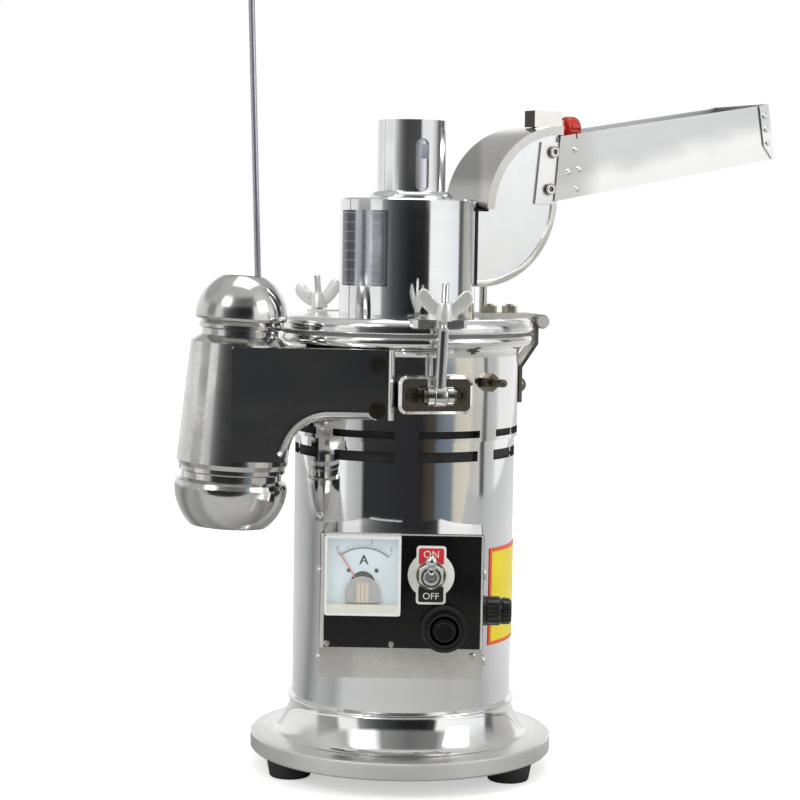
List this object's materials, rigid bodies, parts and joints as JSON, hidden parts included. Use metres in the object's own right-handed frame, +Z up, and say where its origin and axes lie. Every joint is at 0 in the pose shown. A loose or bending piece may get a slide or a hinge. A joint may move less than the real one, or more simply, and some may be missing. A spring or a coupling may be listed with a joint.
{
  "type": "continuous-feed laboratory hammer mill",
  "caption": "Polished bench mill: round motor body, hinged chamber lid with feed chute, tray and chimney, side outlet duct with bag rod, meter and switch box.",
  "frame": {"origin": "on the rotor's axis, in the plane of the three feet's bottoms", "axes": "+Z up along the rotor, -Y towards the control box, +X to the right of the box"},
  "size_m": [0.3849, 0.2825, 0.6034],
  "materials": {
    "cast_polished": "polished casting",
    "cast_satin": "satin casting",
    "polished_steel": "mirror-polished stainless steel",
    "sheet_steel": "bright sheet steel",
    "dark_steel": "oiled dark steel",
    "blued_steel": "blued rod",
    "chrome": "bright plated",
    "black_rubber": "matt black rubber",
    "white_rubber": "pale silicone",
    "black_panel": "gloss black",
    "black_plastic": "gloss black",
    "white_plastic": "gloss white",
    "dial_face": "printed pale dial",
    "clear_plastic": "clear, glossy",
    "switch_plate": "red and black enamel with a white edge",
    "yellow_plate": "yellow enamel with a red edge",
    "violet_plate": "violet-grey anodised plate",
    "red_plastic": "gloss red"
  },
  "bodies": {
    "machine": {"base_casting": "cast_polished", "rubber_feet": "black_rubber", "machine_screws": "dark_steel", "motor_shell": "polished_steel", "stator": "dark_steel", "lower_bearing_plate": "cast_satin", "upper_bearing_plate": "cast_satin", "bearings": "polished_steel", "chamber_casting": "cast_polished", "ring_screen": "polished_steel", "outlet_duct": "cast_polished", "bag_rod": "blued_steel", "control_box": "sheet_steel", "control_panel": "black_panel", "box_screws": "dark_steel", "meter_case": "white_plastic", "meter_dial": "dial_face", "meter_cover": "clear_plastic", "toggle_switch": "polished_steel", "toggle_nut": "chrome", "toggle_plate": "switch_plate", "breaker_body": "black_plastic", "cable_gland": "black_plastic", "side_plate": "yellow_plate", "bolt_brackets": "cast_polished", "pivot_pins": "chrome", "hinge_leaf": "sheet_steel", "hinge_pin": "chrome"},
    "rotor": {"rotor_shaft": "polished_steel", "armature": "dark_steel", "cooling_fan": "cast_satin", "beater": "polished_steel", "rotor_nut": "chrome"},
    "lid": {"lid_disc": "polished_steel", "lid_lugs": "cast_polished", "gasket": "white_rubber", "toothed_ring": "polished_steel", "tower": "polished_steel", "nameplate": "violet_plate", "chimney_tube": "polished_steel", "hinge_strap": "sheet_steel", "hinge_nuts": "chrome", "chute": "sheet_steel", "hood": "sheet_steel", "chute_post": "sheet_steel", "tray_straps": "sheet_steel", "tray": "sheet_steel", "tray_end": "sheet_steel", "tray_rivets": "sheet_steel", "gate_block": "cast_satin"},
    "sleeve": {"air_sleeve": "polished_steel"},
    "gate": {"gate_plate": "sheet_steel"},
    "knob": {"gate_knob": "red_plastic"},
    "front_bolt": {"front_swing_bolt": "chrome"},
    "front_nut": {"front_wing_nut": "cast_satin"},
    "rear_bolt": {"rear_swing_bolt": "chrome"},
    "rear_nut": {"rear_wing_nut": "cast_satin"},
    "switch_lever": {"toggle_lever": "chrome"},
    "needle": {"meter_needle": "red_plastic"},
    "reset_button": {"breaker_button": "black_plastic"}
  },
  "joints": [
    {"name": "rotor_spin", "type": "hinge", "parent": "machine", "child": "rotor", "pos_m": [0, 0, 0.2], "axis": [0, 0, 1], "continuous": true},
    {"name": "lid_hinge", "type": "hinge", "parent": "machine", "child": "lid", "pos_m": [0.08361, 0.01474, 0.282], "axis": [-0.1736, 0.9848, 0], "range_deg": [0, 95]},
    {"name": "front_bolt_swing", "type": "hinge", "parent": "machine", "child": "front_bolt", "pos_m": [0.02081, -0.08345, 0.2405], "axis": [0.9703, 0.2419, 0], "range_deg": [-8.6, 160]},
    {"name": "front_nut_spin", "type": "hinge", "parent": "front_bolt", "child": "front_nut", "pos_m": [0.02081, -0.08345, 0.2405], "axis": [0.0362, -0.1451, 0.9888], "continuous": true},
    {"name": "rear_bolt_swing", "type": "hinge", "parent": "machine", "child": "rear_bolt", "pos_m": [-0.05389, 0.06702, 0.2405], "axis": [-0.7793, -0.6266, 0], "range_deg": [-8.6, 160]},
    {"name": "rear_nut_spin", "type": "hinge", "parent": "rear_bolt", "child": "rear_nut", "pos_m": [-0.05389, 0.06702, 0.2405], "axis": [-0.0937, 0.1165, 0.9888], "continuous": true},
    {"name": "sleeve_turn", "type": "hinge", "parent": "lid", "child": "sleeve", "pos_m": [0.0015, 0, 0.38], "axis": [0, 0, 1], "range_deg": [0, 40]},
    {"name": "gate_slide", "type": "slide", "parent": "lid", "child": "gate", "axis": [0, 0, 1], "range_m": [0, 0.022]},
    {"name": "knob_turn", "type": "hinge", "parent": "lid", "child": "knob", "pos_m": [0.10098, 0.0583, 0.4045], "axis": [0.866, 0.5, 0], "range_deg": [0, 180]},
    {"name": "toggle_flip", "type": "hinge", "parent": "machine", "child": "switch_lever", "pos_m": [0.0175, -0.1018, 0.1357], "axis": [1, 0, 0], "range_deg": [0, 64]},
    {"name": "needle_swing", "type": "hinge", "parent": "machine", "child": "needle", "pos_m": [-0.0224, -0.1003, 0.127], "axis": [0, 1, 0], "range_deg": [0, 67]},
    {"name": "reset_press", "type": "slide", "parent": "machine", "child": "reset_button", "axis": [0, 1, 0], "range_m": [0, 0.003], "stiffness_N_per_m": 300, "springref_m": -0.001}
  ]
}
